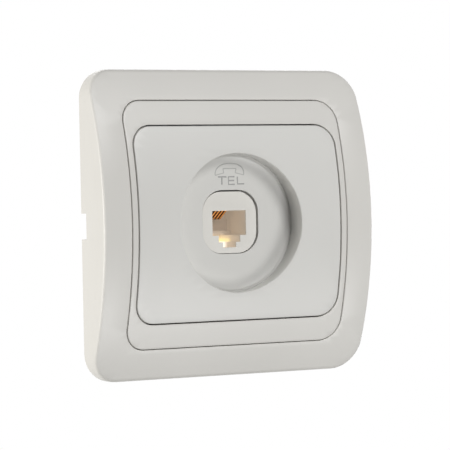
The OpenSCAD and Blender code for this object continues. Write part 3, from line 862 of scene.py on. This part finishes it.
sign_x = -0.08
handset_half = full_arc(sign_x, 13.0, 4.4, 2.85, 14) + [(4.22, 12.75), (1.7, 13.35), (1.9, 14.3), (1.8, 14.5)]
handset = handset_half + [(2 * sign_x - x, z) for x, z in reversed(handset_half)][:-1]
sign = stroke(handset, sign_r, closed=True)
finished(sign, "handset_sign", sign_grey)
top, low = 12.3, 10.25
mid = (top + low) / 2
letters = [
    stroke([(-3.6, top), (-1.0, top)], letter_r), stroke([(-2.42, top), (-2.42, low)], letter_r),
    stroke([(1.45, top), (-0.4, top), (-0.4, low), (1.5, low)], letter_r),
    stroke([(-0.4, mid), (1.35, mid)], letter_r),
    stroke([(2.36, top), (2.36, low + 0.1), (4.4, low + 0.1)], letter_r)]
finished(joined(letters), "letters", letter_grey)

# %% [markdown]
# Behind the front lie plastics and metals of other kinds: a white carrier, a green board, a
# zinc-plated steel plate and claws, brass clamps and nickel-plated screws. Rolled steel has a
# faint grain along one direction, so its pattern is stretched.

# %% Finishes of the inner pieces
board_laminate = finish("board_laminate", (50, 108, 66), (42, 96, 58), 0.4, drift=60)
track_mask = finish("track_mask", (72, 134, 84), (64, 124, 76), 0.36, drift=60)
solder = finish("solder", (198, 200, 204), (172, 174, 180), 0.26, grain=900, relief=0.2, metallic=1)
terminal_plastic = finish("terminal_plastic", (232, 230, 222), (226, 223, 214), 0.45)
carrier_plastic = finish("carrier_plastic", (226, 224, 218), (220, 218, 211), 0.5)
clamp_brass = finish("clamp_brass", (206, 172, 102), (188, 152, 84), 0.3, metallic=1)
screw_steel = finish("screw_steel", (204, 203, 200), (186, 185, 184), 0.28, metallic=1)
zinc_steel = finish("zinc_steel", (200, 203, 207), (180, 184, 190), 0.34, grain=500, relief=0.12, metallic=1,
                    drift=70, stretch=(1, 1, 9))
claw_steel = finish("claw_steel", (194, 196, 198), (172, 175, 180), 0.36, grain=500, relief=0.12, metallic=1,
                    drift=70, stretch=(1, 6, 1))

# %% [markdown]
# These pieces have their full form in the construction. A piece is finished on a copy of its
# mesh: the loose triangles are merged into one skin, the flat faces are joined again, and a
# Bevel modifier takes the razor edge off, as stamping, moulding or turning would leave it.

# %% Softened copies
def softened(node, material, width, body="socket", steps=2):
    """A copy of a construction piece with rounded edges, which takes the piece's place."""
    clear()
    piece = bpy.data.objects.new(node + "_soft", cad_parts[node].data.copy())
    scene.collection.objects.link(piece)
    edit(piece)
    bpy.ops.mesh.remove_doubles(threshold=0.002 * mm)
    bpy.ops.mesh.dissolve_limited(angle_limit=radians(0.5))
    done(piece)
    bevel = piece.modifiers.new("edges", "BEVEL")
    bevel.width = width
    bevel.segments = steps
    bevel.limit_method = "ANGLE"
    bevel.angle_limit = radians(40)
    apply_all(piece)
    return finished(piece, node + "_soft", material, [node], body, angle=20)


softened("carrier", carrier_plastic, 0.14 * mm)
softened("support_plate", zinc_steel, 0.07 * mm)
softened("terminal_block", terminal_plastic, 0.12 * mm)
softened("circuit_board", board_laminate, 0.08 * mm)
softened("board_screws", screw_steel, 0.12 * mm, steps=3)
softened("carrier_rivets", screw_steel, 0.2 * mm, steps=4)
for side in ("left", "right"):
    softened(f"claw_{side}", claw_steel, 0.09 * mm, f"claw_{side}")
    softened(f"claw_pin_{side}", screw_steel, 0.14 * mm, steps=3)
for pole in range(1, 5):
    softened(f"terminal_clamp_{pole}", clamp_brass, 0.08 * mm)
    softened(f"terminal_screw_{pole}", screw_steel, 0.1 * mm)

# %% [markdown]
# The claw screws are long machine screws with a domed head and a crossed recess. Head and shank
# are one turned profile. The thread is a small tooth that the Screw modifier winds along the
# shank, so that it has the true helix of a cut thread.

# %% Claw screws
thread_pitch = 0.45 * mm
thread_root = 1.04 * mm
thread_front = 1.2 * mm
thread_tip = 0.4 * mm
head_t = 1.6 * mm
dome_share = 0.55
recess = (0.55 * mm, 2.9 * mm, 0.85 * mm)


def domed_head(radius, face, back, steps=6):
    """Profile points of a domed head, from its middle to the edge of its underside."""
    rise = dome_share * (back - face)
    turns = [pi / 2 * k / steps for k in range(steps + 1)]
    return [(radius * sin(t), face + rise * (1 - cos(t))) for t in turns] + [(radius, back)]


def thread(radius, start, end):
    clear()
    tooth = (radius - thread_root) * 0.8
    bpy.ops.mesh.primitive_circle_add(vertices=3, radius=tooth, fill_type="NOTHING")
    coil = bpy.context.object
    edit(coil)
    bpy.ops.transform.rotate(value=pi / 2, orient_axis="Z", center_override=(0, 0, 0))
    bpy.ops.transform.translate(value=(radius - tooth, start, 0))
    done(coil)
    wind = coil.modifiers.new("wind", "SCREW")
    wind.axis = "Y"
    wind.steps = 20
    wind.render_steps = 20
    wind.screw_offset = thread_pitch
    wind.iterations = int((end - start) / thread_pitch)
    apply_all(coil)
    edit(coil)
    bpy.ops.mesh.fill_holes(sides=3)
    bpy.ops.mesh.select_all(action="SELECT")
    bpy.ops.mesh.normals_make_consistent(inside=False)
    return done(coil)


for side in ("left", "right"):
    low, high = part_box(f"claw_screw_{side}")
    middle = (low.x + high.x) / 2
    head_r = (high.x - low.x) / 2
    head_back = low.y + head_t
    screw = turned(domed_head(head_r, low.y, head_back) + [
        (thread_root, head_back), (thread_root, high.y - thread_tip),
        (0.6 * thread_root, high.y), (0, high.y)], steps=48)
    for width, height in (recess[:2], recess[1::-1]):
        boolean(screw, [bar((-width / 2, low.y - over, -height / 2),
                            (width / 2, low.y + recess[2], height / 2))])
    screw = joined([screw, thread(thread_root + 0.2 * mm, thread_front, high.y - 0.6 * mm)])
    edit(screw)
    bpy.ops.transform.translate(value=(middle, 0, 0))
    done(screw)
    finished(screw, f"claw_screw_{side}_threaded", screw_steel, [f"claw_screw_{side}"])

# %% [markdown]
# On the board's back four tracks under the green mask lead from the jack's contacts to the
# terminals, and each contact's tail stands in a small cone of solder.

# %% Tracks and solder
board_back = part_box("circuit_board")[1].y
block_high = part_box("terminal_block")[1]
track_w = 0.8 * mm
track_t = 0.04 * mm
bend_z = 0.6 * mm
straight_z = block_high.z + 0.4 * mm
pole_pitch = 5.5 * mm
cone_profile = [(0, 0.42 * mm), (0.3 * mm, 0.4 * mm), (0.4 * mm, 0.16 * mm), (0.49 * mm, track_t),
                (0.49 * mm, -lap), (0, -lap)]


def slanted(x0, z0, x1, z1):
    """A flat track between two heights whose lower end is shifted sideways."""
    piece = bar((x0 - track_w / 2, board_back - lap, z1), (x0 + track_w / 2, board_back + track_t, z0))
    for v in piece.data.vertices:
        if v.co.z < (z0 + z1) / 2:
            v.co.x += x1 - x0
    return piece


tracks = []
cones = []
for pole in poles:
    x = wire_x(pole)
    end_x = (pole - 1.5) * pole_pitch
    tracks += [slanted(x, wire_z, x, bend_z), slanted(x, bend_z, end_x, straight_z),
               slanted(end_x, straight_z, end_x, block_high.z - over)]
    cone = turned([(r, board_back + y) for r, y in cone_profile], steps=24)
    edit(cone)
    bpy.ops.transform.translate(value=(x, 0, wire_z))
    cones.append(done(cone))
finished(joined(tracks), "board_tracks", track_mask)
finished(joined(cones), "solder_joints", solder)

# %% [markdown]
# Last, the size: the dressed socket must not stand out of the construction's box.

# %% Sizes
low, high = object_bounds()
print("visual box", [round(x / mm, 2) for x in low], [round(x / mm, 2) for x in high])
